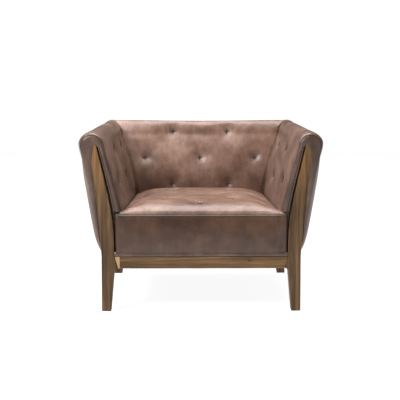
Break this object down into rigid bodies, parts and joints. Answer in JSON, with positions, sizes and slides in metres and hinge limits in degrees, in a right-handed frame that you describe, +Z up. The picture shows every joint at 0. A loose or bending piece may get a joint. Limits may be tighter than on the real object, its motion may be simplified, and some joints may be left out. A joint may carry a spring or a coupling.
{
  "type": "upholstered armchair",
  "caption": "Leather armchair with a tight boxed seat, tufted curved back and arms, show-wood arm posts and a plain wooden base on tapered legs.",
  "frame": {"origin": "on the floor, under the middle of the chair's overall length, width and height box", "axes": "+X to the right hand of someone who stands in front of the chair and looks at it, +Y from the front of the chair to its back, +Z up"},
  "size_m": [1.0112, 0.7901, 0.752],
  "materials": {
    "oak": "brown oiled wood, satin",
    "beech": "raw planed hardwood",
    "leather": "brown pull-up leather, soft sheen",
    "foam": "open-cell upholstery foam, matt",
    "steel": "bright spring wire and zinc-plated bolts",
    "webbing": "woven jute webbing and felt",
    "black_cloth": "black non-woven dust cloth, matt",
    "nylon": "moulded dark nylon"
  },
  "bodies": {
    "root": {"front_leg_left": "oak", "front_leg_right": "oak", "rear_leg_left": "oak", "rear_leg_right": "oak", "front_rail": "oak", "rear_rail": "oak", "side_rail_left": "oak", "side_rail_right": "oak", "corner_block_front_left": "beech", "corner_block_front_right": "beech", "corner_block_rear_left": "beech", "corner_block_rear_right": "beech", "arm_top_rail_left": "beech", "arm_top_rail_right": "beech", "top_corner_left": "beech", "top_corner_right": "beech", "back_top_rail": "beech", "rear_post_left": "beech", "rear_post_right": "beech", "arm_cover_left": "leather", "arm_cover_right": "leather", "back_cover": "leather", "arm_front_left": "leather", "arm_front_right": "leather", "seat_cover": "leather", "seat_flange": "leather", "arm_foam_left": "foam", "arm_foam_right": "foam", "back_foam": "foam", "seat_foam": "foam", "corner_bolt_front_left": "steel", "corner_bolt_front_right": "steel", "corner_bolt_rear_left": "steel", "corner_bolt_rear_right": "steel", "seat_spring_1": "steel", "seat_spring_2": "steel", "seat_spring_3": "steel", "seat_spring_4": "steel", "seat_spring_5": "steel", "spring_clip_front": "steel", "spring_clip_rear": "steel", "spring_tie_front": "steel", "spring_tie_rear": "steel", "back_webbing_1": "webbing", "back_webbing_2": "webbing", "back_webbing_3": "webbing", "back_webbing_4": "webbing", "deck_felt": "webbing", "dust_cover": "black_cloth", "glide_front_left": "nylon", "glide_front_right": "nylon", "glide_rear_left": "nylon", "glide_rear_right": "nylon"}
  },
  "joints": []
}
